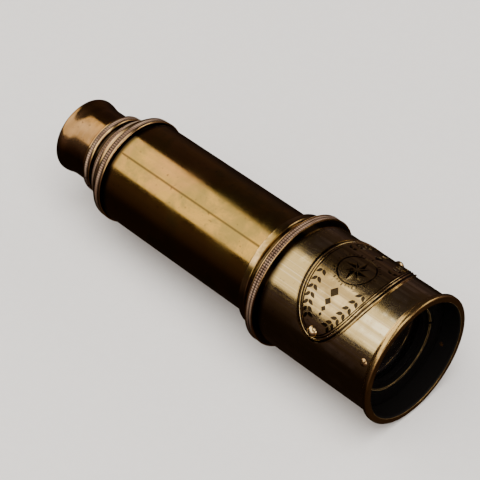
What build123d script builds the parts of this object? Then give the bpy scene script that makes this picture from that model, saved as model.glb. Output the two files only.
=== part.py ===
"""A three-draw brass spyglass with a sliding sunshade, pushed closed and lying on its side.

The optical axis runs along +X, from the eyecup at -X to the open mouth of the sunshade at +X.
Stations are distances along that axis from the eye end, so a section is drawn as (station, radius).
The telescope lies on its widest ring, which touches Z = 0 under the middle of the model's length.
"""

from build123d import *
import math
import os

os.makedirs("parts", exist_ok=True)

# ---------------------------------------------------------------- driving dimensions, mm
closed_length = 148.0
widest_radius = 22.5  # knurled ring of the sunshade

draw_travel = 70.0  # each of the three draws
shade_travel = 28.0
stop_margin = 2.0  # left between a guide ring and its collar at full travel

running = 0.05  # radial clearance of a sliding fit
seat = 0.02  # radial gap of a screwed, soldered or pressed seat

# Outer and inner radii of the nested tubes, from the eye draw out to the sunshade.
eye_outer, eye_inner = 10.8, 10.25
middle_outer, middle_inner = 13.0, 12.45
large_outer, large_inner = 15.5, 14.9
barrel_outer, barrel_inner = 17.8, 17.1
objective_outer, objective_inner = 19.3, 18.7
shade_outer, shade_inner = 20.7, 20.0

# Stations of the outside shoulders, from the eye end.
eyecup_end = 14.0
middle_collar_start, middle_flange_end, middle_collar_end = 14.9, 17.8, 19.4
large_collar_start, large_collar_end = 19.6, 24.8
barrel_collar_start, barrel_flange_end, barrel_start = 25.0, 28.0, 28.9
step_start, step_end, objective_tube_start = 93.0, 95.7, 98.4
shade_ring_start, shade_ring_end = 98.8, 101.6
shade_tube_end = 145.0

# Flange radii.
middle_flange_radius, middle_neck_radius = 14.25, 13.5
large_flange_radius = 17.0
barrel_flange_radius, barrel_neck_radius = 18.6, 17.3
step_radius, step_neck_radius = 19.7, 18.9
rim_radius, mouth_radius = 22.0, 19.5

# The beaded slope of the large draw's collar, and the round bead it rises to.
slope_foot_radius, slope_middle_radius, slope_top_radius = 14.15, 15.3, 15.95
collar_lip_radius, bead_edge_radius, bead_back_radius = 14.4, 16.4, 16.5

# Each knurled flange is a shallow channel, which holds the beading, between its lips.
channel_depth, lip_width, bead_width = 0.35, 0.3, 1.0

# The barrel is rolled from sheet and brazed, so a fine seam runs along it.
seam_angle, seam_width, seam_depth = 30.0, 0.3, 0.12

# The guide rings at the inner ends of the draws, and the sleeves that stop them.
guide_length = 5.0
eye_tube_start, eye_tube_end = 7.2, 103.0
middle_tube_end, large_tube_end, barrel_end = 108.0, 112.0, 112.5

# Saw cuts that make a collar's sleeve springy, each slot_reach across the sleeve's wall.
slot_count, slot_width, slot_reach = 4, 0.9, 4.0
slot_end_gap = 0.5  # between the end of a cut and the collar

# Optics.
objective_radius, objective_stop_radius = 15.5, 13.2
eyepiece_radius, eyepiece_land = 9.0, 0.8
clear = eyepiece_radius - eyepiece_land

# Nameplate: an oval bent round the sunshade.
plate_station = 123.7
plate_half_length = 12.8
plate_half_angle = 73.0  # degrees each side of the top
plate_thickness = 0.5
rivet_angle = 64.0
rivet_head_radius, rivet_shank_radius, rivet_head_height = 1.7, 0.8, 1.15
rim_screw_station, rim_screw_angle = 143.2, 61.0
screw_head_radius, screw_shank_radius, screw_head_height = 1.2, 0.7, 0.4
hole_lead, hole_depth = 1.0, 3.0  # holes start inside the wall and pass right through it

# ---------------------------------------------------------------- frame
eye_end_x = -closed_length / 2
axis_height = widest_radius
section = Plane(origin=(eye_end_x, 0, axis_height), x_dir=(1, 0, 0), z_dir=(0, 0, 1))
optical_axis = Axis((eye_end_x, 0, axis_height), (1, 0, 0))


def across(station):
    """The plane square to the optical axis at a station, with local X to +Y and local Y to +Z."""
    return Plane(origin=(eye_end_x + station, 0, axis_height), x_dir=(0, 1, 0), z_dir=(1, 0, 0))


def outward(station, radius, angle):
    """The plane facing straight out from the axis, angle degrees from the top towards -Y."""
    lean = math.radians(angle)
    direction = Vector(0, -math.sin(lean), math.cos(lean))
    centre = Vector(eye_end_x + station, 0, axis_height) + direction * radius
    return Plane(origin=centre, x_dir=(1, 0, 0), z_dir=direction)


def ring(start, end, inner, outer):
    """Corners of the section of a plain ring."""
    return (start, inner), (end, inner), (end, outer), (start, outer)


def circles_of(builder, radius):
    """The circular edges of a turned piece at one radius."""
    edges = builder.edges().filter_by(GeomType.CIRCLE)
    return edges.filter_by(lambda edge: abs(edge.radius - radius) < 0.001)


# ---------------------------------------------------------------- barrel: tubes and collars
with BuildPart() as barrel_tube:
    with BuildSketch(section):
        Polygon(*ring(barrel_start, barrel_end, barrel_inner, barrel_outer))
    revolve(axis=optical_axis)
    with BuildSketch(outward((barrel_start + barrel_end) / 2, barrel_outer, seam_angle)):
        Rectangle(barrel_end - barrel_start, seam_width)
    extrude(amount=-seam_depth, mode=Mode.SUBTRACT)

# Screwed into the rear of the barrel: a flange outside, and a springy sleeve that guides the
# large draw and stops its guide ring.
large_guide_start = large_tube_end - guide_length
barrel_sleeve_end = large_guide_start - draw_travel - stop_margin
with BuildPart() as barrel_rear_collar:
    with BuildSketch(section):
        Polygon(
            (barrel_collar_start, large_outer + running),
            (barrel_sleeve_end, large_outer + running),
            (barrel_sleeve_end, barrel_inner - seat),
            (barrel_start, barrel_inner - seat),
            (barrel_start, barrel_neck_radius),
            (barrel_flange_end, barrel_neck_radius),
            (barrel_flange_end, barrel_flange_radius),
            (barrel_flange_end - bead_width, barrel_flange_radius),
            (barrel_flange_end - bead_width, barrel_flange_radius - channel_depth),
            (barrel_collar_start + lip_width, barrel_flange_radius - channel_depth),
            (barrel_collar_start + lip_width, barrel_flange_radius - 0.1),
            (barrel_collar_start, barrel_flange_radius - 0.1),
        )
    revolve(axis=optical_axis)
    fillet(circles_of(barrel_rear_collar, barrel_flange_radius), 0.3)
    with BuildSketch(across(barrel_sleeve_end)):
        with PolarLocations(barrel_inner, slot_count):
            Rectangle(slot_reach, slot_width)
    extrude(amount=barrel_start + slot_end_gap - barrel_sleeve_end, mode=Mode.SUBTRACT)

# The step from the barrel up to the objective tube, with a deep groove beside the flange.
step_spigot_end = objective_tube_start + 5.0
with BuildPart() as barrel_front_collar:
    with BuildSketch(section):
        Polygon(
            (step_start, barrel_outer + seat),
            (step_spigot_end, barrel_outer + seat),
            (step_spigot_end, objective_inner - seat),
            (objective_tube_start, objective_inner - seat),
            (objective_tube_start, step_neck_radius),
            (step_end, step_neck_radius),
            (step_end, step_radius),
            (step_start, step_radius),
        )
    revolve(axis=optical_axis)
    fillet(circles_of(barrel_front_collar, step_radius), 0.4)

cell_flange_start, cell_front = 139.2, 141.0
with BuildPart() as objective_tube:
    with BuildSketch(section):
        Polygon(*ring(objective_tube_start, cell_flange_start, objective_inner, objective_outer))
    revolve(axis=optical_axis)

# A blackened disc that keeps stray light off the draws.
baffle_station, baffle_thickness, baffle_hole_radius, baffle_lip = 118.0, 0.8, 10.5, 4.0
with BuildPart() as objective_baffle:
    with BuildSketch(section):
        Polygon(
            (baffle_station, baffle_hole_radius),
            (baffle_station + baffle_thickness, baffle_hole_radius),
            (baffle_station + baffle_thickness, objective_inner - 1.0),
            (baffle_station + baffle_lip, objective_inner - 1.0),
            (baffle_station + baffle_lip, objective_inner - seat),
            (baffle_station, objective_inner - seat),
        )
    revolve(axis=optical_axis)

# ---------------------------------------------------------------- barrel: objective
# The doublet stands against a shoulder of the cell: flint, spacer, crown, and then the
# retaining ring that screws in from the front.
cell_spigot_start, cell_shoulder_start = 126.0, 128.0
flint_start, flint_end = 130.0, 133.0
spacer_thickness = 0.5
crown_start, crown_end = flint_end + spacer_thickness, 137.4
doublet_sag = 1.1

with BuildPart() as objective_cell:
    with BuildSketch(section):
        Polygon(
            (cell_spigot_start, objective_radius + 1.6),
            (cell_shoulder_start, objective_radius + 1.6),
            (cell_shoulder_start, objective_stop_radius),
            (flint_start, objective_stop_radius),
            (flint_start, objective_radius + seat),
            (cell_front, objective_radius + seat),
            (cell_front, shade_inner - running),
            (cell_flange_start, shade_inner - running),
            (cell_flange_start, objective_inner - seat),
            (cell_spigot_start, objective_inner - seat),
        )
    revolve(axis=optical_axis)
    fillet(circles_of(objective_cell, shade_inner - running), 0.3)


def lens(start, end, radius, clear_radius, eye_sag, far_sag):
    """A lens with a flat land round each face. A positive sag bulges outward, a negative one inward."""
    eye_vertex, far_vertex = (start - eye_sag, 0), (end + far_sag, 0)
    faces = [(eye_vertex, (start, clear_radius)), (far_vertex, (end, clear_radius))]
    with BuildPart() as blank:
        with BuildSketch(section):
            with BuildLine():
                for vertex, land in faces:
                    if vertex[0] == land[0]:
                        Line(vertex, land)
                    else:
                        TangentArc(vertex, land, tangent=(0, 1))
                Polyline((start, clear_radius), (start, radius), (end, radius), (end, clear_radius))
                Line(eye_vertex, far_vertex)
            make_face()
        revolve(axis=optical_axis)
    return blank


flint_lens = lens(flint_start, flint_end, objective_radius, objective_stop_radius, -0.3, -doublet_sag)
crown_lens = lens(crown_start, crown_end, objective_radius, objective_stop_radius, doublet_sag, 0.8)

with BuildPart() as lens_spacer:
    with BuildSketch(section):
        Polygon(*ring(flint_end, crown_start, objective_stop_radius + 0.6, objective_radius))
    revolve(axis=optical_axis)

# Stepped inside, so that two thin edges show in front of the glass.
retainer_step, retainer_front, retainer_mouth_radius = 139.0, 140.8, 14.2
with BuildPart() as objective_retaining_ring:
    with BuildSketch(section):
        Polygon(
            (crown_end, objective_stop_radius),
            (retainer_step, objective_stop_radius),
            (retainer_step, retainer_mouth_radius),
            (retainer_front, retainer_mouth_radius),
            (retainer_front, objective_radius),
            (crown_end, objective_radius),
        )
    revolve(axis=optical_axis)
    # Two notches across the front face for the spanner that turns the ring.
    with BuildSketch(across(retainer_front)):
        with PolarLocations(retainer_mouth_radius + 0.6, 2):
            Rectangle(3, 1.0)
    extrude(amount=-0.8, mode=Mode.SUBTRACT)

# ---------------------------------------------------------------- large draw
with BuildPart() as large_draw_tube:
    with BuildSketch(section):
        Polygon(*ring(large_collar_end, large_tube_end, large_inner, large_outer))
    revolve(axis=optical_axis)

# The collar rises towards the barrel in a beaded slope and ends in a round bead.
middle_guide_start = middle_tube_end - guide_length
large_sleeve_end = middle_guide_start - draw_travel - stop_margin
slope_start, slope_middle, slope_end = large_collar_start + lip_width, 20.9, 22.4
bead_crown = 23.6
with BuildPart() as large_draw_collar:
    with BuildSketch(section):
        with BuildLine():
            Polyline(
                (slope_start, slope_foot_radius),
                (slope_start, collar_lip_radius),
                (large_collar_start, collar_lip_radius - 0.15),
                (large_collar_start, middle_outer + running),
                (large_sleeve_end, middle_outer + running),
                (large_sleeve_end, large_inner - seat),
                (large_collar_end, large_inner - seat),
                (large_collar_end, bead_back_radius),
            )
            ThreePointArc(
                (large_collar_end, bead_back_radius),
                (bead_crown, large_flange_radius),
                (slope_end, bead_edge_radius),
            )
            Line((slope_end, bead_edge_radius), (slope_end, slope_top_radius))
            ThreePointArc(
                (slope_end, slope_top_radius),
                (slope_middle, slope_middle_radius),
                (slope_start, slope_foot_radius),
            )
        make_face()
    revolve(axis=optical_axis)
    with BuildSketch(across(large_sleeve_end)):
        with PolarLocations(large_inner, slot_count):
            Rectangle(slot_reach, slot_width)
    extrude(amount=large_collar_end + slot_end_gap - large_sleeve_end, mode=Mode.SUBTRACT)

with BuildPart() as large_draw_guide_ring:
    with BuildSketch(section):
        Polygon(*ring(large_guide_start, large_tube_end, large_outer + seat, barrel_inner - running))
    revolve(axis=optical_axis)
    chamfer(circles_of(large_draw_guide_ring, barrel_inner - running), 0.3)

# ---------------------------------------------------------------- middle draw
with BuildPart() as middle_draw_tube:
    with BuildSketch(section):
        Polygon(*ring(middle_collar_end, middle_tube_end, middle_inner, middle_outer))
    revolve(axis=optical_axis)

eye_guide_start = eye_tube_end - guide_length
middle_sleeve_end = eye_guide_start - draw_travel - stop_margin
with BuildPart() as middle_draw_collar:
    with BuildSketch(section):
        Polygon(
            (middle_collar_start, eye_outer + running),
            (middle_sleeve_end, eye_outer + running),
            (middle_sleeve_end, middle_inner - seat),
            (middle_collar_end, middle_inner - seat),
            (middle_collar_end, middle_neck_radius),
            (middle_flange_end, middle_neck_radius),
            (middle_flange_end, middle_flange_radius),
            (middle_flange_end - bead_width, middle_flange_radius),
            (middle_flange_end - bead_width, middle_flange_radius - channel_depth),
            (middle_collar_start + lip_width, middle_flange_radius - channel_depth),
            (middle_collar_start + lip_width, middle_flange_radius - 0.1),
            (middle_collar_start, middle_flange_radius - 0.1),
        )
    revolve(axis=optical_axis)
    fillet(circles_of(middle_draw_collar, middle_flange_radius), 0.3)
    with BuildSketch(across(middle_sleeve_end)):
        with PolarLocations(middle_inner, slot_count):
            Rectangle(slot_reach, slot_width)
    extrude(amount=middle_collar_end + slot_end_gap - middle_sleeve_end, mode=Mode.SUBTRACT)

with BuildPart() as middle_draw_guide_ring:
    with BuildSketch(section):
        Polygon(*ring(middle_guide_start, middle_tube_end, middle_outer + seat, large_inner - running))
    revolve(axis=optical_axis)
    chamfer(circles_of(middle_draw_guide_ring, large_inner - running), 0.3)

# ---------------------------------------------------------------- eye draw
with BuildPart() as eye_draw_tube:
    with BuildSketch(section):
        Polygon(*ring(eye_tube_start, eye_tube_end, eye_inner, eye_outer))
    revolve(axis=optical_axis)

with BuildPart() as eye_draw_guide_ring:
    with BuildSketch(section):
        Polygon(*ring(eye_guide_start, eye_tube_end, eye_outer + seat, middle_inner - running))
    revolve(axis=optical_axis)
    chamfer(circles_of(eye_draw_guide_ring, middle_inner - running), 0.3)

# A bell with a rolled rim and a shallow dish for the eye, screwed onto the eye draw.
rim_bead, eyecup_rim_radius, eyecup_waist_radius, eye_hole_radius = 0.95, 13.3, 12.45, 4.5
dish_station, dish_radius, dish_bottom, eyecup_floor = 0.475, 11.527, 4.6, 6.4
with BuildPart() as eyecup:
    with BuildSketch(section):
        with BuildLine():
            ThreePointArc((dish_station, dish_radius), (3.2, 8.4), (dish_bottom, eye_hole_radius))
            Polyline(
                (dish_bottom, eye_hole_radius),
                (eyecup_floor, eye_hole_radius),
                (eyecup_floor, eye_outer - 1.4),
                (eye_tube_start, eye_outer - 1.4),
                (eye_tube_start, eye_outer + seat),
                (eyecup_end, eye_outer + seat),
                (eyecup_end, 11.7),
                (13.2, eyecup_waist_radius),
                (6.6, eyecup_waist_radius),
            )
            Spline(
                (6.6, eyecup_waist_radius),
                (4.4, 12.65),
                (2.5, 13.1),
                (rim_bead, eyecup_rim_radius),
                tangents=((-1, 0), (-1, 0)),
            )
            ThreePointArc(
                (rim_bead, eyecup_rim_radius),
                (0, eyecup_rim_radius - rim_bead),
                (dish_station, dish_radius),
            )
        make_face()
    revolve(axis=optical_axis)


def lens_barrel(start, end, lip_radius, lip_length):
    """A thin tube that slips into the eye draw, with an inward lip at its eye end."""
    with BuildPart() as tube:
        with BuildSketch(section):
            Polygon(
                (start, lip_radius),
                (start + lip_length, lip_radius),
                (start + lip_length, eyepiece_radius + seat),
                (end, eyepiece_radius + seat),
                (end, eye_inner - seat),
                (start, eye_inner - seat),
            )
        revolve(axis=optical_axis)
    return tube


def stop_tube(start, end, stop_start, hole_radius):
    """The blackened spacer between two lenses, with a light stop across it."""
    bore, thickness = clear, 0.8
    with BuildPart() as tube:
        with BuildSketch(section):
            Polygon(*ring(start, end, bore, eyepiece_radius))
            Polygon(*ring(stop_start, stop_start + thickness, hole_radius, bore))
        revolve(axis=optical_axis)
    return tube


def retaining_ring(start, end):
    """The threaded ring that closes a lens barrel."""
    with BuildPart() as nut:
        with BuildSketch(section):
            Polygon(*ring(start, end, clear, eyepiece_radius))
        revolve(axis=optical_axis)
        with BuildSketch(across(end)):
            with PolarLocations(eyepiece_radius, 2):
                Rectangle(3, 0.9)
        extrude(amount=-0.7, mode=Mode.SUBTRACT)
    return nut


# Eyepiece: eye lens, stop and field lens, stacked against the lip behind the eyecup.
eyepiece_start, eyepiece_end, barrel_lip = 7.2, 38.0, 0.8
eye_lens_start, eye_lens_thickness = eyepiece_start + barrel_lip, 3.2
field_lens_start, field_lens_thickness = 32.0, 3.0
ring_length = 2.0
eye_lens_end = eye_lens_start + eye_lens_thickness
field_lens_end = field_lens_start + field_lens_thickness
eyepiece_tube = lens_barrel(eyepiece_start, eyepiece_end, clear - 0.4, barrel_lip)
eye_lens = lens(eye_lens_start, eye_lens_end, eyepiece_radius, clear, 0.0, 1.3)
field_stop = stop_tube(eye_lens_end, field_lens_start, 22.0, 6.0)
field_lens = lens(field_lens_start, field_lens_end, eyepiece_radius, clear, 0.0, 1.0)
eyepiece_retaining_ring = retaining_ring(field_lens_end, field_lens_end + ring_length)

# Erector: the second lens pair, which turns the image upright.
erector_start, erector_end = 58.0, 102.0
erector_rear_start, erector_lens_thickness = erector_start + barrel_lip, 2.8
erector_front_start = 96.0
erector_rear_end = erector_rear_start + erector_lens_thickness
erector_front_end = erector_front_start + erector_lens_thickness
erector_tube = lens_barrel(erector_start, erector_end, clear - 0.4, barrel_lip)
erector_rear_lens = lens(erector_rear_start, erector_rear_end, eyepiece_radius, clear, 0.0, 0.9)
erector_stop = stop_tube(erector_rear_end, erector_front_start, 79.0, 3.0)
erector_front_lens = lens(erector_front_start, erector_front_end, eyepiece_radius, clear, 0.9, 0.0)
erector_retaining_ring = retaining_ring(erector_front_end, erector_front_end + ring_length)

# ---------------------------------------------------------------- sunshade
plate_foot = shade_outer + seat
plate_top = plate_foot + plate_thickness
rivet_places = [(plate_station, rivet_angle), (plate_station, -rivet_angle)]
screw_places = [(rim_screw_station, rim_screw_angle), (rim_screw_station, rim_screw_angle + 180)]

with BuildPart() as shade_tube:
    with BuildSketch(section):
        Polygon(*ring(shade_ring_end, shade_tube_end, shade_inner, shade_outer))
    revolve(axis=optical_axis)
    for station, angle in rivet_places:
        with BuildSketch(outward(station, shade_inner - hole_lead, angle)):
            Circle(rivet_shank_radius + seat)
        extrude(amount=hole_depth, mode=Mode.SUBTRACT)
    for station, angle in screw_places:
        with BuildSketch(outward(station, shade_inner - hole_lead, angle)):
            Circle(screw_shank_radius + seat)
        extrude(amount=hole_depth, mode=Mode.SUBTRACT)

# The knurled ring has a long bush inside the shade, which slides on the objective tube and
# stops against the flange of the objective cell.
bush_end = cell_flange_start - shade_travel - stop_margin
with BuildPart() as shade_rear_ring:
    with BuildSketch(section):
        Polygon(
            (shade_ring_start, objective_outer + running),
            (bush_end, objective_outer + running),
            (bush_end, shade_inner - seat),
            (shade_ring_end, shade_inner - seat),
            (shade_ring_end, widest_radius),
            (shade_ring_end - lip_width, widest_radius),
            (shade_ring_end - lip_width, widest_radius - channel_depth),
            (shade_ring_start + lip_width, widest_radius - channel_depth),
            (shade_ring_start + lip_width, widest_radius),
            (shade_ring_start, widest_radius),
        )
    revolve(axis=optical_axis)
    fillet(circles_of(shade_rear_ring, widest_radius), 0.1)

# The mouth of the shade: a spigot inside the tube, a cove outside and a rolled golden edge.
rim_spigot_start, mouth_wall_end = 141.6, 147.5
with BuildPart() as shade_rim:
    with BuildSketch(section):
        with BuildLine():
            Polyline(
                (mouth_wall_end, mouth_radius),
                (rim_spigot_start, mouth_radius),
                (rim_spigot_start, shade_inner - seat),
                (shade_tube_end, shade_inner - seat),
                (shade_tube_end, shade_outer),
            )
            ThreePointArc((shade_tube_end, shade_outer), (145.7, 20.95), (146.1, 21.55))
            Spline(
                (146.1, 21.55),
                (147.0, rim_radius),
                (closed_length, 21.2),
                tangents=((0.3, 1), (0, -1)),
            )
            Line((closed_length, 21.2), (closed_length, mouth_radius + 0.5))
            Line((closed_length, mouth_radius + 0.5), (mouth_wall_end, mouth_radius))
        make_face()
    revolve(axis=optical_axis)
    for station, angle in screw_places:
        with BuildSketch(outward(station, mouth_radius - hole_lead, angle)):
            Circle(screw_shank_radius + seat)
        extrude(amount=hole_depth, mode=Mode.SUBTRACT)


def oval_outline(count):
    """Points of the bent oval's edge from above, where an arc of the shade shortens to its sine."""
    points = []
    for step in range(count):
        turn = 2 * math.pi * step / count
        lean = math.radians(plate_half_angle) * math.sin(turn)
        points.append((plate_station + plate_half_length * math.cos(turn), plate_foot * math.sin(lean)))
    return points


with BuildPart() as nameplate:
    with BuildSketch(section):
        with BuildLine():
            Spline(*oval_outline(32), periodic=True)
        make_face()
    extrude(amount=widest_radius)
    with BuildSketch(across(plate_station - plate_half_length - 1)):
        Circle(plate_top)
        Circle(plate_foot, mode=Mode.SUBTRACT)
    extrude(amount=2 * plate_half_length + 2, mode=Mode.INTERSECT)
    for station, angle in rivet_places:
        with BuildSketch(outward(station, plate_foot - hole_lead, angle)):
            Circle(rivet_shank_radius + seat)
        extrude(amount=hole_depth, mode=Mode.SUBTRACT)


def domed_fasteners(places, inner, seat_radius, shank_radius, head_radius, head_height, slot=0):
    """Round-headed fasteners standing square to the shade, with a slot of the given width if any."""
    with BuildPart() as group:
        for station, angle in places:
            with BuildSketch(outward(station, inner, angle)):
                Circle(shank_radius)
            extrude(amount=seat_radius - inner + head_height / 2)
            side = outward(station, seat_radius, angle)
            with BuildSketch(Plane(origin=side.origin, x_dir=side.x_dir, z_dir=side.y_dir)):
                with BuildLine():
                    Polyline((0, -head_height), (0, 0), (head_radius, 0))
                    TangentArc((0, -head_height), (head_radius, 0), tangent=(1, 0))
                make_face()
            revolve(axis=Axis(side.origin, side.z_dir))
            if slot:
                with BuildSketch(outward(station, seat_radius + head_height / 2, angle)):
                    Rectangle(2 * head_radius, slot, rotation=35)
                extrude(amount=head_height, mode=Mode.SUBTRACT)
    return group


# The rivet heads stand on the plate's flat spot, a little off its curve.
plate_rivets = domed_fasteners(
    rivet_places,
    shade_inner,
    plate_top,
    rivet_shank_radius,
    rivet_head_radius,
    rivet_head_height,
)
rim_screws = domed_fasteners(
    screw_places,
    mouth_radius + 0.1,
    shade_outer,
    screw_shank_radius,
    screw_head_radius,
    screw_head_height,
    slot=0.35,
)

# ---------------------------------------------------------------- write one STEP per piece
pieces = {
    "barrel_tube": barrel_tube,
    "barrel_rear_collar": barrel_rear_collar,
    "barrel_front_collar": barrel_front_collar,
    "objective_tube": objective_tube,
    "objective_baffle": objective_baffle,
    "objective_cell": objective_cell,
    "flint_lens": flint_lens,
    "lens_spacer": lens_spacer,
    "crown_lens": crown_lens,
    "objective_retaining_ring": objective_retaining_ring,
    "large_draw_tube": large_draw_tube,
    "large_draw_collar": large_draw_collar,
    "large_draw_guide_ring": large_draw_guide_ring,
    "middle_draw_tube": middle_draw_tube,
    "middle_draw_collar": middle_draw_collar,
    "middle_draw_guide_ring": middle_draw_guide_ring,
    "eye_draw_tube": eye_draw_tube,
    "eye_draw_guide_ring": eye_draw_guide_ring,
    "eyecup": eyecup,
    "eyepiece_tube": eyepiece_tube,
    "eye_lens": eye_lens,
    "field_stop": field_stop,
    "field_lens": field_lens,
    "eyepiece_retaining_ring": eyepiece_retaining_ring,
    "erector_tube": erector_tube,
    "erector_rear_lens": erector_rear_lens,
    "erector_stop": erector_stop,
    "erector_front_lens": erector_front_lens,
    "erector_retaining_ring": erector_retaining_ring,
    "shade_tube": shade_tube,
    "shade_rear_ring": shade_rear_ring,
    "shade_rim": shade_rim,
    "rim_screws": rim_screws,
    "nameplate": nameplate,
    "plate_rivets": plate_rivets,
}
for label, piece in pieces.items():
    piece.part.label = label
    export_step(piece.part, f"parts/{label}.step")
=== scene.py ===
"""Looks of the brass spyglass: patinated brass, beaded bands, an ornamented plate, glass and studio light.

Stations and sizes are in metres. The optical axis runs along +X. A point of the telescope is given by
its station x, its radius from that axis, and its lean, the angle from the top towards -Y.
"""

import math

import bmesh
import bpy
import numpy as np
from mathutils import Matrix, Vector
from mathutils.geometry import delaunay_2d_cdt


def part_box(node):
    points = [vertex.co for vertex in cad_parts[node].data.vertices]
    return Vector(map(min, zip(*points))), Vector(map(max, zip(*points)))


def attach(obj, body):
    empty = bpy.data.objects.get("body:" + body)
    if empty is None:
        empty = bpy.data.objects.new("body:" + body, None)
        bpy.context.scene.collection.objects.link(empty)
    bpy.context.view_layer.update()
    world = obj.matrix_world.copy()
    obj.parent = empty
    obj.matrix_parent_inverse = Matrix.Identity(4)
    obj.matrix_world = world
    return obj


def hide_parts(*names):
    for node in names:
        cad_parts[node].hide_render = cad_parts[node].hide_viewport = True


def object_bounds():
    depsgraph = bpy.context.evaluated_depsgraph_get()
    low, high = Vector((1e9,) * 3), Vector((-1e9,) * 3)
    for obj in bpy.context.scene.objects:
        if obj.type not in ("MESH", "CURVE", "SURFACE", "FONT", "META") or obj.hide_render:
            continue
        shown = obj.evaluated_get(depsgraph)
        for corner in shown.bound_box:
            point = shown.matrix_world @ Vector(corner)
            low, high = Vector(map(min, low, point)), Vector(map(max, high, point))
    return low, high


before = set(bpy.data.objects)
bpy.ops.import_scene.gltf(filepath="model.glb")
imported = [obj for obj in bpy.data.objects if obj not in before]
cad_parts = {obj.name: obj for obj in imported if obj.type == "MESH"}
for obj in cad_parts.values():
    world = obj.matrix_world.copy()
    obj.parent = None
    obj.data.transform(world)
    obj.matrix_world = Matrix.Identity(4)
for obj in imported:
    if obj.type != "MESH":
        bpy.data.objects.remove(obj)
cad_low, cad_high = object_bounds()

MM = 0.001
AXIS_HEIGHT = (cad_low.z + cad_high.z) / 2
MIDDLE = Vector(((cad_low.x + cad_high.x) / 2, 0, AXIS_HEIGHT))


# ---------------------------------------------------------------- camera
CAMERA_AZIMUTH, CAMERA_ELEVATION, CAMERA_ROLL = 47.0, 43.9, 2.2  # degrees
CAMERA_DISTANCE = 0.579
CAMERA_LENS = 138.0  # millimetres on a 36 mm sensor


def make_camera():
    azimuth, elevation = math.radians(CAMERA_AZIMUTH), math.radians(CAMERA_ELEVATION)
    back = Vector(
        (
            math.sin(azimuth) * math.cos(elevation),
            -math.cos(azimuth) * math.cos(elevation),
            math.sin(elevation),
        )
    )
    camera = bpy.data.objects.new("camera", bpy.data.cameras.new("camera"))
    bpy.context.scene.collection.objects.link(camera)
    turn = (-back).to_track_quat("-Z", "Y").to_matrix().to_4x4()
    roll = Matrix.Rotation(math.radians(-CAMERA_ROLL), 4, "Z")
    camera.matrix_world = Matrix.Translation(MIDDLE + back * CAMERA_DISTANCE) @ turn @ roll
    camera.data.lens = CAMERA_LENS
    camera.data.clip_start, camera.data.clip_end = 0.01, 20
    bpy.context.scene.camera = camera


make_camera()


# ---------------------------------------------------------------- shader tools
class Shader:
    """A material's nodes, with a short call for each kind that is used here."""

    def __init__(self, name):
        self.material = bpy.data.materials.new(name)
        self.material.use_nodes = True
        self.nodes = self.material.node_tree.nodes
        self.links = self.material.node_tree.links
        self.surface = self.nodes["Principled BSDF"]

    def put(self, socket, value):
        if isinstance(value, bpy.types.NodeSocket):
            self.links.new(value, socket)
        else:
            socket.default_value = value

    def math(self, operation, a, b=0.0):
        node = self.nodes.new("ShaderNodeMath")
        node.operation = operation
        self.put(node.inputs[0], a)
        self.put(node.inputs[1], b)
        return node.outputs[0]

    def times(self, a, b):
        return self.math("MULTIPLY", a, b)

    def apart(self, a, b):
        """The distance between two numbers."""
        return self.math("ABSOLUTE", self.math("SUBTRACT", a, b))

    def vector(self, x, y, z):
        node = self.nodes.new("ShaderNodeCombineXYZ")
        for socket, value in zip(node.inputs, (x, y, z)):
            self.put(socket, value)
        return node.outputs[0]

    def noise(self, vector, scale, detail=3.0, roughness=0.55, distortion=0.0):
        node = self.nodes.new("ShaderNodeTexNoise")
        self.put(node.inputs["Vector"], vector)
        node.inputs["Scale"].default_value = scale
        node.inputs["Detail"].default_value = detail
        node.inputs["Roughness"].default_value = roughness
        node.inputs["Distortion"].default_value = distortion
        return node.outputs["Fac"]

    def span(self, value, low, high, to_low=0.0, to_high=1.0):
        """Map a value from low..high to to_low..to_high, eased at both ends."""
        node = self.nodes.new("ShaderNodeMapRange")
        node.interpolation_type = "SMOOTHSTEP"
        for key, number in (("Value", value), ("From Min", low), ("From Max", high)):
            self.put(node.inputs[key], number)
        self.put(node.inputs["To Min"], to_low)
        self.put(node.inputs["To Max"], to_high)
        return node.outputs[0]

    def mix(self, factor, a, b):
        node = self.nodes.new("ShaderNodeMix")
        node.data_type = "RGBA"
        for key, value in (("Factor_Float", factor), ("A_Color", a), ("B_Color", b)):
            socket = next(s for s in node.inputs if s.identifier == key)
            self.put(socket, value)
        return next(s for s in node.outputs if s.identifier == "Result_Color")

    def mix_numbers(self, factor, a, b):
        node = self.nodes.new("ShaderNodeMix")
        for key, value in (("Factor_Float", factor), ("A_Float", a), ("B_Float", b)):
            socket = next(s for s in node.inputs if s.identifier == key)
            self.put(socket, value)
        return node.outputs[0]

    def attribute(self, name):
        node = self.nodes.new("ShaderNodeAttribute")
        node.attribute_name = name
        return node.outputs["Fac"]

    def place(self):
        """Sockets for the station, radius, lean and plain position of the shaded point."""
        position = self.nodes.new("ShaderNodeTexCoord").outputs["Object"]
        split = self.nodes.new("ShaderNodeSeparateXYZ")
        self.links.new(position, split.inputs[0])
        x, y, z = split.outputs
        up = self.math("SUBTRACT", z, AXIS_HEIGHT)
        radius = self.math("SQRT", self.math("ADD", self.math("POWER", y, 2), self.math("POWER", up, 2)))
        lean = self.math("ARCTAN2", self.math("MULTIPLY", y, -1.0), up)
        return x, radius, lean, position

    def bump(self, height, strength, distance, normal=None):
        node = self.nodes.new("ShaderNodeBump")
        node.inputs["Strength"].default_value = strength
        node.inputs["Distance"].default_value = distance
        self.put(node.inputs["Height"], height)
        if normal is not None:
            self.put(node.inputs["Normal"], normal)
        return node.outputs[0]


def colour(red, green, blue):
    return (red, green, blue, 1.0)


BLACK_PAINT = colour(0.0035, 0.0030, 0.0028)
PAINT_SPECULAR = 0.12
# Dark brown for tarnish spots and patina in hollows, and also the painted shade at shoulders and in necks.
GRIME_AND_SHADE = colour(0.016, 0.009, 0.005)
BRIGHT = colour(1.0, 0.90, 0.74)

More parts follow.
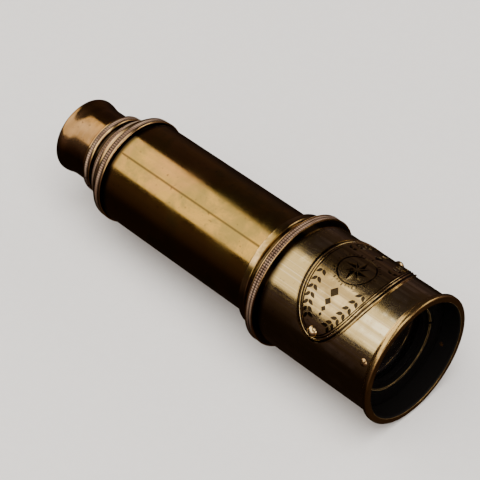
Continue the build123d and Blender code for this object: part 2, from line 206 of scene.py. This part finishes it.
# Noise scales in brass, as multiples of the scale of its clouds.
PATCH_SCALE, BLUSH_SCALE, SPOT_SCALE = 0.28, 0.42, 9.0
LATHE_LINES = 2600.0  # per metre, along the axis and outwards
WAVE_SCALE = 42.0
# Depths of the relief, in metres.
WAVE_DEPTH, LINE_DEPTH, SPOT_DEPTH = 0.00035, 0.00002, 0.00001


def brass(
    name,
    clean,
    tarnish,
    blush=None,
    roughness=(0.10, 0.20),
    mottle=90.0,
    along=0.0,
    around=0.0,
    waviness=0.16,
    shoulders=(),
    shoulder_reach=0.0024,
    necks=(),
    seam=None,
    painted_inside=None,
    worn=False,
):
    """Patinated brass, clean to tarnish in clouds, with a blush of a third colour.

    mottle is the scale of the clouds. along and around are the strength of fine marks lengthwise and
    round the axis. shoulders are stations next to which shade is painted, within shoulder_reach. necks
    are deep places painted with shade, as (first station, last station, radius). seam is the lean of a
    soldered joint, drawn as a dark line.
    painted_inside is the radius within which the piece is black. worn darkens the low places that the
    mesh marks.
    """
    shader = Shader(name)
    x, radius, lean, position = shader.place()

    # Cloudy tarnish at two sizes, with a sprinkle of small spots.
    clouds = shader.noise(position, mottle, detail=4.0, roughness=0.6, distortion=0.3)
    patches = shader.noise(position, mottle * PATCH_SCALE, detail=2.0, roughness=0.5)
    spots = shader.noise(position, mottle * SPOT_SCALE, detail=2.0, roughness=0.5)
    cloudiness = shader.math("ADD", clouds, shader.times(patches, 0.8))
    metal = shader.mix(shader.span(cloudiness, 0.80, 1.00), clean, tarnish)
    if blush is not None:
        warm = shader.noise(position, mottle * BLUSH_SCALE, detail=3.0, roughness=0.6, distortion=0.6)
        metal = shader.mix(shader.span(warm, 0.50, 0.64, 0.0, 0.85), metal, blush)
    metal = shader.mix(shader.span(spots, 0.64, 0.80, 0.0, 0.6), metal, GRIME_AND_SHADE)

    # Fine lines: drawn lengthwise on the tubes, turned round the axis on the lathe work.
    lengthwise = shader.vector(shader.times(x, 4.0), shader.times(lean, 26.0), 0.0)
    long_lines = shader.noise(lengthwise, 1.0, detail=4.0, roughness=0.72)
    banding = shader.vector(shader.times(x, 3.0), shader.times(lean, 8.0), 7.0)
    bands = shader.noise(banding, 1.0, detail=1.0, roughness=0.5)
    turned = shader.vector(
        shader.times(x, LATHE_LINES), shader.times(radius, LATHE_LINES), shader.times(lean, 0.6)
    )
    round_lines = shader.noise(turned, 1.0, detail=3.0, roughness=0.7)
    lines = shader.math(
        "ADD",
        shader.times(shader.math("SUBTRACT", long_lines, 0.5), along),
        shader.times(shader.math("SUBTRACT", round_lines, 0.5), around),
    )
    metal = shader.mix(shader.span(bands, 0.42, 0.66, 0.0, 0.8 * along), metal, tarnish)
    metal = shader.mix(shader.span(lines, 0.02, 0.26, 0.0, 0.7), metal, tarnish)
    metal = shader.mix(shader.span(lines, -0.26, -0.02, 0.55, 0.0), metal, BRIGHT)

    # Grime in the low places of a mesh, painted shade at shoulders and in necks, and a dark line along the
    # seam.
    if worn:
        metal = shader.mix(shader.span(shader.attribute("wear"), 0.10, 0.80, 0.95, 0.0), metal, GRIME_AND_SHADE)
    shade_and_seam = 0.0
    # Painted shade along each shoulder, with a ragged edge from the clouds.
    for station in shoulders:
        ragged = shader.math("ADD", shader.apart(x, station), shader.times(clouds, 0.0010))
        shoulder_shade = shader.span(ragged, shoulder_reach * 0.5, shoulder_reach + 0.0008, 0.93, 0.0)
        shade_and_seam = shader.math("MAXIMUM", shade_and_seam, shoulder_shade)
    # Painted shade deep in each neck.
    for first, last, neck_radius in necks:
        deep = shader.span(radius, neck_radius - 0.00012, neck_radius + 0.00006, 0.96, 0.0)
        reach = (last - first) / 2
        near = shader.span(shader.apart(x, (first + last) / 2), reach, reach + 0.0001, 1.0, 0.0)
        shade_and_seam = shader.math("MAXIMUM", shade_and_seam, shader.times(deep, near))
    if seam is not None:
        ragged = shader.math("ADD", shader.apart(lean, seam), shader.times(clouds, 0.02))
        shade_and_seam = shader.math("MAXIMUM", shade_and_seam, shader.span(ragged, 0.010, 0.044, 0.72, 0.0))
    if shoulders or necks or seam is not None:
        metal = shader.mix(shade_and_seam, metal, GRIME_AND_SHADE)

    rough = shader.math("ADD", shader.span(clouds, 0.3, 0.7, *roughness), shader.times(lines, 0.22))
    metallic = 1.0
    if painted_inside is not None:
        inside = shader.span(radius, painted_inside, painted_inside + 0.0001, 1.0, 0.0)
        metal = shader.mix(inside, metal, BLACK_PAINT)
        metallic = shader.math("SUBTRACT", 1.0, inside)
        rough = shader.math("MAXIMUM", rough, shader.times(inside, 0.55))
        shader.surface.inputs["Specular IOR Level"].default_value = PAINT_SPECULAR

    waves = shader.noise(position, WAVE_SCALE, detail=1.0, roughness=0.4)
    relief = shader.bump(waves, waviness, WAVE_DEPTH)
    relief = shader.bump(lines, 0.2, LINE_DEPTH, relief)
    relief = shader.bump(spots, 0.15, SPOT_DEPTH, relief)
    shader.put(shader.surface.inputs["Base Color"], metal)
    shader.put(shader.surface.inputs["Metallic"], metallic)
    shader.put(shader.surface.inputs["Roughness"], rough)
    shader.put(shader.surface.inputs["Normal"], relief)
    return shader.material


def black_paint(name, rubbed_edge=None):
    """Matt black with faint brush marks and brown specks.

    rubbed_edge is an edge, as (station, radius), where the paint is worn down to the brass.
    """
    shader = Shader(name)
    x, radius, lean, position = shader.place()
    density = 1500.0  # brush marks per metre
    brushed = shader.vector(shader.times(x, density), shader.times(radius, density), lean)
    strokes = shader.noise(brushed, 1.0)
    specks = shader.span(shader.noise(position, 1400.0, detail=2.0), 0.68, 0.78)
    paint = shader.mix(specks, BLACK_PAINT, colour(0.03, 0.02, 0.012))
    rough = shader.span(strokes, 0.3, 0.7, 0.42, 0.62)
    if rubbed_edge is not None:
        station, edge_radius = rubbed_edge
        away = shader.math("MAXIMUM", shader.apart(radius, edge_radius), shader.apart(x, station))
        ragged = shader.math("ADD", away, shader.times(strokes, 0.0002))
        rubbed = shader.span(ragged, 0.0002, 0.0005, 1.0, 0.0)
        paint = shader.mix(rubbed, paint, colour(0.56, 0.38, 0.16))
        rough = shader.mix_numbers(rubbed, rough, 0.14)
        shader.put(shader.surface.inputs["Metallic"], rubbed)
    shader.put(shader.surface.inputs["Base Color"], paint)
    shader.put(shader.surface.inputs["Roughness"], rough)
    shader.surface.inputs["Specular IOR Level"].default_value = PAINT_SPECULAR
    shader.put(shader.surface.inputs["Normal"], shader.bump(strokes, 0.3, 0.00003))
    return shader.material


def lens_glass(name):
    """Clear coated glass with a trace of dust."""
    shader = Shader(name)
    position = shader.place()[-1]
    dust = shader.span(shader.noise(position, 700.0, detail=3.0), 0.55, 0.75)
    tone = shader.mix(dust, colour(0.90, 0.94, 0.96), colour(0.80, 0.82, 0.80))
    shader.put(shader.surface.inputs["Roughness"], shader.times(dust, 0.12))
    shader.put(shader.surface.inputs["Base Color"], tone)
    shader.surface.inputs["Transmission Weight"].default_value = 1.0
    shader.surface.inputs["IOR"].default_value = 1.52
    return shader.material


# ---------------------------------------------------------------- mesh tools
def add_piece(name, mesh, body, material):
    piece = bpy.data.objects.new(name, mesh)
    bpy.context.scene.collection.objects.link(piece)
    mesh.materials.clear()
    mesh.materials.append(material)
    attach(piece, body)
    return piece


def on_axis(station, radius, lean):
    """Points from stations, radii and leans, as arrays."""
    y, z = -radius * np.sin(lean), AXIS_HEIGHT + radius * np.cos(lean)
    return np.stack(np.broadcast_arrays(station, y, z), axis=-1)


def woven_mesh(name, points, wear):
    """A closed ring-shaped mesh from a grid of points [across, around], with the wear of each point."""
    across, around = points.shape[:2]
    rows = np.arange(across * around).reshape(across, around)
    next_rows = np.roll(rows, -1, axis=0)
    corners = [rows, np.roll(rows, -1, axis=1), np.roll(next_rows, -1, axis=1), next_rows]
    quads = np.stack(corners, axis=-1).reshape(-1, 4)
    mesh = bpy.data.meshes.new(name)
    mesh.from_pydata(points.reshape(-1, 3).tolist(), [], quads.tolist())
    mesh.attributes.new("wear", "FLOAT", "POINT").data.foreach_set("value", wear.ravel().astype(np.float32))
    mesh.shade_smooth()
    return mesh


BEAD_STEPS = 8  # faces across a bead, each way
BEAD_FULLNESS = 0.75  # power of the sine of a bead's profile: below 1 is fuller than a sine
BURIED = 0.15 * MM  # how far a band goes into the piece that carries it


def beaded_band(name, body, path, height, beads, rows, material):
    """Rows of small beads round the axis, standing height proud of a path of (station, radius) points."""
    path = np.array(path)
    lengths = np.concatenate([[0], np.cumsum(np.linalg.norm(np.diff(path, axis=0), axis=1))])
    share = np.linspace(0, 1, rows * BEAD_STEPS + 1)
    station = np.interp(share * lengths[-1], lengths, path[:, 0])
    radius = np.interp(share * lengths[-1], lengths, path[:, 1])
    lean = np.arange(beads * BEAD_STEPS) / (beads * BEAD_STEPS) * 2 * math.pi
    across = np.abs(np.sin(math.pi * rows * share))[:, None] ** BEAD_FULLNESS
    around = np.abs(np.sin(lean * beads / 2))[None, :] ** BEAD_FULLNESS
    wear = across * around
    outer = on_axis(station[:, None], radius[:, None] + height * wear, lean[None, :])
    inner_radius = np.full((2, 1), radius.min() - BURIED)
    inner = on_axis(station[[-1, 0]][:, None], inner_radius, lean[None, :])
    points = np.concatenate([outer, inner])
    wear = np.concatenate([wear, np.zeros((2, len(lean)))])
    mesh = woven_mesh(name, points, wear)
    return add_piece(name, mesh, body, material)


def arc_through(start, middle, end, count=9):
    """Points on the circle through three (station, radius) points, from start to end."""
    (ax, ay), (bx, by), (cx, cy) = start, middle, end
    a2, b2, c2 = ax**2 + ay**2, bx**2 + by**2, cx**2 + cy**2
    twice_area = 2 * (ax * (by - cy) + bx * (cy - ay) + cx * (ay - by))
    ux = (a2 * (by - cy) + b2 * (cy - ay) + c2 * (ay - by)) / twice_area
    uy = (a2 * (cx - bx) + b2 * (ax - cx) + c2 * (bx - ax)) / twice_area
    first, last = math.atan2(ay - uy, ax - ux), math.atan2(cy - uy, cx - ux)
    size = math.hypot(ax - ux, ay - uy)
    turns = np.linspace(first, last, count)
    return [(ux + size * math.cos(t), uy + size * math.sin(t)) for t in turns]


# ---------------------------------------------------------------- materials
def within_wall(node, depth):
    """The radius that lies depth millimetres under the outside of a tube, just outside its bore."""
    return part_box(node)[1].z - AXIS_HEIGHT - depth * MM


barrel_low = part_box("barrel_tube")[0]
step_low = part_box("barrel_front_collar")[0]
shade_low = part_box("shade_tube")[0]
ring_low, ring_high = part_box("shade_rear_ring")
rear_low, rear_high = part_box("barrel_rear_collar")
large_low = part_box("large_draw_collar")[0]
middle_low, middle_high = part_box("middle_draw_collar")
lens_ring_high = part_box("objective_retaining_ring")[1]
LENS_RING_BORE = 14.2 * MM
RIM_BORE = 19.9 * MM
SEAM_LEAN = math.radians(30)
STEP_GROOVE = step_low.x + 4.3 * MM

GOLD = colour(0.58, 0.338, 0.074)
OLIVE = colour(0.37, 0.250, 0.066)
COPPERY = colour(0.60, 0.310, 0.092)

barrel_finish = brass(
    "barrel_brass",
    clean=GOLD,
    tarnish=OLIVE,
    blush=COPPERY,
    along=0.30,
    # painted shade next to the barrel's rear collar
    shoulders=(barrel_low.x,),
    shoulder_reach=0.0016,
    seam=SEAM_LEAN,
    painted_inside=within_wall("barrel_tube", 0.6),
)
step_finish = brass(
    "step_brass",
    clean=colour(0.94, 0.63, 0.29),
    tarnish=OLIVE,
    blush=COPPERY,
    around=0.5,
    # painted shade on the collar's front, next to the sunshade's ring
    shoulders=(STEP_GROOVE,),
)
draw_finishes = {}
for draw, depth in (("large", 0.52), ("middle", 0.47), ("eye", 0.47)):
    tube, guide_ring = draw + "_draw_tube", draw + "_draw_guide_ring"
    draw_finishes[tube] = draw_finishes[guide_ring] = brass(
        draw + "_draw_brass",
        clean=colour(0.82, 0.62, 0.31),
        tarnish=colour(0.60, 0.43, 0.19),
        roughness=(0.08, 0.16),
        around=0.25,
        along=0.15,
        waviness=0.05,
        painted_inside=within_wall(tube, depth),
    )
shade_finish = brass(
    "shade_brass",
    clean=colour(1.0, 0.84, 0.50),
    tarnish=colour(0.58, 0.420, 0.165),
    blush=colour(0.86, 0.62, 0.34),
    along=1.1,
    waviness=0.05,
    # painted shade next to the sunshade's rear ring
    shoulders=(shade_low.x,),
    shoulder_reach=0.0030,
    painted_inside=within_wall("shade_tube", 0.55),
)
# Painted shade darkens the necks between the flanges and the faces that look forwards.
RING_NECKS = (
    (middle_low.x + 2.8 * MM, large_low.x + 0.3 * MM, 14.05 * MM),
    (large_low.x + 4.9 * MM, large_low.x + 5.5 * MM, 16.4 * MM),
    (rear_low.x + 2.95 * MM, rear_low.x + 4.0 * MM, 18.2 * MM),
    (ring_low.x + 2.75 * MM, ring_low.x + 3.2 * MM, 22.1 * MM),
)
ring_finish = brass(
    "ring_brass",
    clean=colour(0.86, 0.60, 0.26),
    tarnish=colour(0.58, 0.37, 0.17),
    around=0.5,
    roughness=(0.14, 0.26),
    necks=RING_NECKS,
)
bead_finish = brass(
    "bead_brass",
    clean=colour(0.76, 0.53, 0.38),
    tarnish=colour(0.50, 0.32, 0.22),
    roughness=(0.26, 0.40),
    worn=True,
)
rim_finish = brass(
    "rim_brass",
    clean=colour(0.70, 0.47, 0.17),
    tarnish=colour(0.44, 0.28, 0.10),
    around=0.4,
    roughness=(0.16, 0.26),
    painted_inside=RIM_BORE,
)
eyecup_finish = brass(
    "eyecup_brass",
    clean=colour(0.46, 0.240, 0.066),
    tarnish=colour(0.27, 0.140, 0.044),
    blush=colour(0.56, 0.33, 0.14),
    around=0.4,
    roughness=(0.13, 0.23),
)
plate_finish = brass(
    "plate_brass",
    clean=colour(0.80, 0.59, 0.27),
    tarnish=colour(0.42, 0.29, 0.11),
    along=1.1,
    waviness=0.05,
    worn=True,
)
fastener_finish = brass(
    "fastener_brass",
    clean=colour(0.88, 0.64, 0.30),
    tarnish=colour(0.56, 0.36, 0.16),
    roughness=(0.16, 0.24),
    waviness=0.02,
)
lens_ring_finish = black_paint("rubbed_black_paint", rubbed_edge=(lens_ring_high.x, LENS_RING_BORE))
paint_finish = black_paint("black_paint")
glass_finish = lens_glass("lens_glass")

FINISH_BY_NODE = {
    "barrel_tube": barrel_finish,
    "barrel_front_collar": step_finish,
    "objective_tube": step_finish,
    "barrel_rear_collar": ring_finish,
    "large_draw_collar": ring_finish,
    "middle_draw_collar": ring_finish,
    "shade_rear_ring": ring_finish,
    "shade_tube": shade_finish,
    "shade_rim": rim_finish,
    "nameplate": plate_finish,
    "plate_rivets": fastener_finish,
    "rim_screws": fastener_finish,
    "eyecup": eyecup_finish,
    "objective_retaining_ring": lens_ring_finish,
    **draw_finishes,
}
for node_name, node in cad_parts.items():
    finish = FINISH_BY_NODE.get(node_name, glass_finish if "_lens" in node_name else paint_finish)
    node.data.materials.clear()
    node.data.materials.append(finish)


# ---------------------------------------------------------------- beaded bands
LIP, EDGE_BEAD, CHANNEL = 0.3 * MM, 1.0 * MM, 0.35 * MM
BAND_SINK = 0.04 * MM  # how far the beads stay under the lips of their channel


def flange_band(name, body, beads, rows, low, high, length, edge_bead):
    """Beading in the channel of a flange, given the flange's box and its length along the axis."""
    base = high.z - AXIS_HEIGHT - CHANNEL
    path = [(low.x + LIP, base), (low.x + length - edge_bead, base)]
    return beaded_band(name, body, path, CHANNEL - BAND_SINK, beads, rows, bead_finish)


flange_band("shade_ring_beading", "sunshade", 164, 2, ring_low, ring_high, 2.8 * MM, LIP)
flange_band("barrel_collar_beading", "barrel", 136, 1, rear_low, rear_high, 3.0 * MM, EDGE_BEAD)
flange_band("middle_collar_beading", "middle_draw", 104, 1, middle_low, middle_high, 2.9 * MM, EDGE_BEAD)
slope = arc_through(
    (large_low.x + LIP, 14.15 * MM),
    (large_low.x + 1.3 * MM, 15.3 * MM),
    (large_low.x + 2.8 * MM, 15.95 * MM),
)
beaded_band("large_collar_beading", "large_draw", slope, CHANNEL, 112, 2, bead_finish)


# ---------------------------------------------------------------- nameplate
# The plate is drawn flat in millimetres, u along the axis and v round the tube, and then bent.
PLATE_U, PLATE_ANGLE = 12.8, math.radians(73)
PLATE_FOOT, PLATE_TOP = 20.72, 21.22
PLATE_V = PLATE_TOP * PLATE_ANGLE
FIELD_LEVEL, ENGRAVED_LEVEL = PLATE_TOP - 0.10, PLATE_TOP - 0.27
# Steps of the border, as (inset from the edge, level, wear), from the side wall to the engraved field.
BORDER = (
    (0.00, PLATE_TOP - 0.10, 0.9),
    (0.08, PLATE_TOP, 1.0),
    (0.42, PLATE_TOP, 1.0),
    (0.52, PLATE_TOP - 0.28, 0.0),
    (1.08, PLATE_TOP - 0.28, 0.0),
    (1.18, PLATE_TOP - 0.06, 0.9),
    (1.28, PLATE_TOP, 1.0),
    (1.54, PLATE_TOP, 1.0),
    (1.64, PLATE_TOP - 0.06, 0.9),
    (1.72, PLATE_TOP - 0.26, 0.0),
    (1.98, PLATE_TOP - 0.26, 0.0),
    (2.06, PLATE_TOP - 0.06, 0.9),
    (2.14, PLATE_TOP - 0.02, 1.0),
    (2.34, PLATE_TOP - 0.02, 1.0),
    (2.44, PLATE_TOP - 0.26, 0.0),
    (2.68, PLATE_TOP - 0.26, 0.0),
    (2.76, FIELD_LEVEL, 1.0),
)
EDGE_COUNT = 288
FIELD_SPACING, UNDERSIDE_SPACING = 1.1, 2.4  # between the points that fill the plate
SMOOTH_ANGLE = math.radians(35)

# The engraving. Star points are (length, half width), ticks are (length, half width).
LONG_POINT, SHORT_POINT = (5.2, 1.5), (4.0, 0.85)
RING_RADII = (5.65, 6.15)
TICK_START, LONG_TICK, SHORT_TICK = 6.4, (0.95, 0.19), (0.55, 0.12)
SPRAY_U, SPRAY_V = PLATE_U - 4.6, PLATE_V - 4.6  # half axes of the oval that the leaves follow
SPRAY_LEAVES, SPRAY_START, SPRAY_STEP = 7, 0.275, 0.128
LEAF_SPREAD, LEAF_WIDTH = 0.80, 1.15
INNER_LEAF, OUTER_LEAF = 2.15, 2.35
LOZENGES = ((10.0, 1.55), (13.3, 1.15), (15.8, 0.85), (17.7, 0.6))  # distance from the middle, half width


def oval(inset, count=EDGE_COUNT):
    """The plate's edge, moved inwards, as points (u, v)."""
    turn = np.arange(count) / count * 2 * math.pi
    edge = np.stack([PLATE_U * np.cos(turn), PLATE_V * np.sin(turn)], axis=1)
    outward = np.stack([PLATE_V * np.cos(turn), PLATE_U * np.sin(turn)], axis=1)
    return edge - inset * outward / np.linalg.norm(outward, axis=1)[:, None]


def circle(u, v, size, count):
    turn = np.arange(count) / count * 2 * math.pi
    return np.stack([u + size * np.cos(turn), v + size * np.sin(turn)], axis=1)


def placed(shape, u, v, turn):
    """A small shape turned by an angle and moved to (u, v)."""
    c, s = math.cos(turn), math.sin(turn)
    return np.array(shape) @ np.array([[c, s], [-s, c]]) + (u, v)


def leaf(length, width):
    """A pointed leaf that starts at its stem and lies along +u."""
    share = np.linspace(0, 1, 9)
    bulge = width / 2 * np.sin(math.pi * share**0.75) ** 0.9
    upper = np.stack([length * share, bulge], axis=1)
    return np.concatenate([upper, np.stack([length * share, -bulge], axis=1)[-2:0:-1]])


def plate_engraving():
    """Outlines of what is cut into the field: a compass star, its ring and ticks, leaves and lozenges."""
    shapes = []
    for point in range(8):
        length, width = SHORT_POINT if point % 2 else LONG_POINT
        # Only one side of each point is cut, so that it reads as a facet.
        half = [(0.55, 0.05), (0.75 + width * 0.55, width), (length, 0.08)]
        shapes.append(placed(half, 0, 0, point * math.pi / 4))
    shapes += [circle(0, 0, size, 72) for size in RING_RADII]
    for tick in range(36):
        length, half_width = SHORT_TICK if tick % 3 else LONG_TICK
        start, end = TICK_START, TICK_START + length
        bar = [(start, -half_width), (end, -half_width), (end, half_width), (start, half_width)]
        shapes.append(placed(bar, 0, 0, tick * math.pi / 18))
    for side in (1, -1):
        for end in (1, -1):
            # Leaves climb along each long side, from beside the star's ring towards the rivet.
            for step in range(SPRAY_LEAVES):
                lean = SPRAY_START + SPRAY_STEP * step
                stem = (SPRAY_U * math.cos(lean), SPRAY_V * math.sin(lean))
                heading = math.atan2(SPRAY_V * math.cos(lean), -SPRAY_U * math.sin(lean))
                for spread, size in ((LEAF_SPREAD, INNER_LEAF), (-LEAF_SPREAD, OUTER_LEAF)):
                    blade = placed(leaf(size, LEAF_WIDTH), 0.16, 0, 0)
                    blade = placed(blade, 0, 0, heading - spread)
                    shapes.append((blade + stem) * (side, end))
    for end in (1, -1):
        for v, size in LOZENGES:
            lozenge = [(-size, 0), (0, -size * 1.15), (size, 0), (0, size * 1.15)]
            shapes.append(placed(lozenge, 0, end * v, 0))
    return shapes


def plate_triangles(edge, shapes, spacing):
    """Triangles inside an edge, as (points, faces, is each face inside a shape)."""
    loops = [edge, *shapes]
    grid_u = np.arange(-PLATE_U, PLATE_U, spacing)
    grid_v = np.arange(-PLATE_V, PLATE_V, spacing)
    grid = np.stack(np.meshgrid(grid_u, grid_v), axis=-1).reshape(-1, 2)
    margin = 3.0  # keeps the filling points clear of the edge
    reach = (grid[:, 0] / (PLATE_U - margin)) ** 2 + (grid[:, 1] / (PLATE_V - margin)) ** 2
    points = np.concatenate([*loops, grid[reach < 0.97]])
    polygons, start = [], 0
    for loop in loops:
        polygons.append(list(range(start, start + len(loop))))
        start += len(loop)
    cut = delaunay_2d_cdt([Vector(p) for p in points.tolist()], [], polygons, 1, 1e-5)
    out_points, _, faces, _, _, from_polygons = cut
    # A face inside an odd number of shapes is cut: the ring is what lies between its two circles.
    engraved = [sum(1 for k in owners if k > 0) % 2 == 1 for owners in from_polygons]
    return np.array([tuple(p) for p in out_points]), [tuple(f) for f in faces], engraved


def bent(points, level):
    """Plate points (u, v) and their levels, in millimetres, as places on the telescope in metres."""
    return on_axis(plate_centre + points[:, 0] * MM, level * MM, points[:, 1] / PLATE_TOP)


def make_nameplate():
    vertices, wear, faces = [], [], []

    def add_vertices(points, level, worn):
        start = sum(len(block) for block in vertices)
        vertices.append(bent(points, np.broadcast_to(level, len(points))))
        wear.append(np.full(len(points), worn))
        return np.arange(start, start + len(points))

    # The side wall and the border are strips between rings of points.
    rings = [add_vertices(oval(0), PLATE_FOOT, 0.2)]
    rings += [add_vertices(oval(inset), level, worn) for inset, level, worn in BORDER]
    for below, above in zip(rings, rings[1:]):
        for k in range(EDGE_COUNT):
            after = (k + 1) % EDGE_COUNT
            faces.append((below[k], below[after], above[after], above[k]))

    # The field is cut along the engraving, and each cut area drops to a floor with walls round it.
    points, triangles, engraved = plate_triangles(
        oval(BORDER[-1][0]), plate_engraving(), FIELD_SPACING
    )
    top = add_vertices(points, FIELD_LEVEL, 1.0)
    floor = add_vertices(points, ENGRAVED_LEVEL, 0.0)
    top[:EDGE_COUNT] = rings[-1]
    sunk_edges = []
    for triangle, sunk in zip(triangles, engraved):
        level = floor if sunk else top
        faces.append(tuple(level[k] for k in triangle))
        if sunk:
            sunk_edges += zip(triangle, triangle[1:] + triangle[:1])
    inner_edges = set(sunk_edges)
    for a, b in sunk_edges:
        if (b, a) not in inner_edges:
            faces.append((floor[b], floor[a], top[a], top[b]))

    # The underside lies on the tube.
    points, triangles, _ = plate_triangles(oval(0), [], UNDERSIDE_SPACING)
    under = add_vertices(points, PLATE_FOOT, 0.2)
    under[:EDGE_COUNT] = rings[0]
    faces += [tuple(under[k] for k in reversed(triangle)) for triangle in triangles]

    mesh = bpy.data.meshes.new("nameplate_relief")
    mesh.from_pydata(np.concatenate(vertices).tolist(), [], [tuple(int(k) for k in f) for f in faces])
    mesh.attributes.new("wear", "FLOAT", "POINT").data.foreach_set(
        "value", np.concatenate(wear).astype(np.float32)
    )
    shape = bmesh.new()
    shape.from_mesh(mesh)
    bmesh.ops.delete(shape, geom=[v for v in shape.verts if not v.link_faces], context="VERTS")
    bmesh.ops.recalc_face_normals(shape, faces=shape.faces)
    shape.to_mesh(mesh)
    shape.free()
    mesh.shade_smooth()
    mesh.set_sharp_from_angle(angle=SMOOTH_ANGLE)
    plate = add_piece("nameplate_relief", mesh, "sunshade", plate_finish)
    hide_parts("nameplate")


plate_low, plate_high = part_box("nameplate")
plate_centre = (plate_low.x + plate_high.x) / 2
make_nameplate()


# ---------------------------------------------------------------- lights and floor
WARM, NEUTRAL = (1.0, 0.94, 0.86), (1.0, 0.99, 0.97)
ON_TELESCOPE, ON_FLOOR = (0, 0, 0.02), (0, 0, 0)

# Area lights, as (name, place, target, size, power, tint, seen in metal and glass). The long band box above
# and behind the eye end draws the bright band along the tubes. The fill lights only the floor and painted
# surfaces. The others light the other sides, from where the tubes don't mirror them to the main camera.
LIGHTS = (
    ("band_softbox", (-1.2, -0.845, 1.6), ON_TELESCOPE, (3.4, 1.7), 34.5, WARM, True),
    ("floor_fill", (0.6, -0.4, 2.2), ON_FLOOR, (2.4, 2.4), 85.0, NEUTRAL, False),
    ("front_softbox", (0.75, -2.1, 1.15), ON_TELESCOPE, (2.2, 1.1), 13.0, WARM, True),
    ("rear_softbox", (0.75, 2.1, 1.35), ON_TELESCOPE, (2.2, 1.1), 14.0, WARM, True),
    ("top_softbox", (0.75, 0.0, 2.2), ON_TELESCOPE, (1.0, 1.9), 10.0, WARM, True),
    ("eye_end_strip", (2.3, 0.2, 0.9), ON_TELESCOPE, (1.6, 0.7), 9.0, WARM, True),
    ("objective_end_strip", (-2.4, 0.1, 0.75), ON_TELESCOPE, (1.6, 0.6), 9.0, WARM, True),
)
FLOOR_REACH = 4.0

# The room's colour at three heights, from straight down at 0 to straight up at 1.
ROOM_LOW = (0.30, colour(0.010, 0.006, 0.004))
ROOM_MIDDLE = (0.56, colour(0.054, 0.036, 0.038))
ROOM_HIGH = (0.80, colour(0.031, 0.023, 0.025))
# The room is brighter towards the objective end, which the tubes don't mirror to the main camera.
ROOM_LIFT_FROM, ROOM_LIFT_TO, ROOM_LIFT = -0.38, 0.05, 4.0


def add_area_light(name, place, target, size, power, tint, seen_in_metal):
    light = bpy.data.lights.new(name, "AREA")
    light.shape = "RECTANGLE"
    light.size, light.size_y = size
    light.energy = power
    light.color = tint
    lamp = bpy.data.objects.new(name, light)
    bpy.context.scene.collection.objects.link(lamp)
    lamp.location = place
    lamp.rotation_mode = "QUATERNION"
    lamp.rotation_quaternion = (Vector(target) - Vector(place)).to_track_quat("-Z", "Y")
    lamp.visible_glossy = seen_in_metal
    lamp.visible_transmission = seen_in_metal


def make_floor():
    floor_mesh = bpy.data.meshes.new("floor")
    reach = FLOOR_REACH
    corners = [(-reach, -reach, 0), (reach, -reach, 0), (reach, reach, 0), (-reach, reach, 0)]
    floor_mesh.from_pydata(corners, [], [(0, 1, 2, 3)])
    floor = bpy.data.objects.new("floor", floor_mesh)
    bpy.context.scene.collection.objects.link(floor)
    shader = Shader("floor_paper")
    position = shader.nodes.new("ShaderNodeTexCoord").outputs["Object"]
    grain = shader.noise(position, 300.0, 2.0)
    tone = shader.mix(grain, colour(0.78, 0.765, 0.745), colour(0.82, 0.805, 0.785))
    shader.put(shader.surface.inputs["Base Color"], tone)
    shader.surface.inputs["Roughness"].default_value = 0.95
    shader.surface.inputs["Specular IOR Level"].default_value = 0.1
    floor_mesh.materials.append(shader.material)
    floor.visible_glossy = False
    floor.visible_transmission = False


def make_room():
    world = bpy.data.worlds.new("studio")
    bpy.context.scene.world = world
    world.use_nodes = True
    nodes, links = world.node_tree.nodes, world.node_tree.links
    background = nodes["Background"]
    direction = nodes.new("ShaderNodeTexCoord").outputs["Generated"]
    split = nodes.new("ShaderNodeSeparateXYZ")
    links.new(direction, split.inputs[0])
    height = nodes.new("ShaderNodeMapRange")
    height.inputs["From Min"].default_value = -1.0
    links.new(split.outputs[2], height.inputs["Value"])
    ramp = nodes.new("ShaderNodeValToRGB")
    links.new(height.outputs[0], ramp.inputs["Fac"])
    stops = ramp.color_ramp.elements
    for stop, (position, tint) in zip(stops, (ROOM_LOW, ROOM_MIDDLE)):
        stop.position, stop.color = position, tint
    stops.new(ROOM_HIGH[0]).color = ROOM_HIGH[1]
    links.new(ramp.outputs["Color"], background.inputs["Color"])
    lift = nodes.new("ShaderNodeMapRange")
    lift.interpolation_type = "SMOOTHSTEP"
    lift.inputs["From Min"].default_value = ROOM_LIFT_FROM
    lift.inputs["From Max"].default_value = ROOM_LIFT_TO
    lift.inputs["To Min"].default_value = 1.0
    lift.inputs["To Max"].default_value = ROOM_LIFT
    links.new(split.outputs[0], lift.inputs["Value"])
    links.new(lift.outputs[0], background.inputs["Strength"])


make_floor()
for light in LIGHTS:
    add_area_light(*light)
make_room()
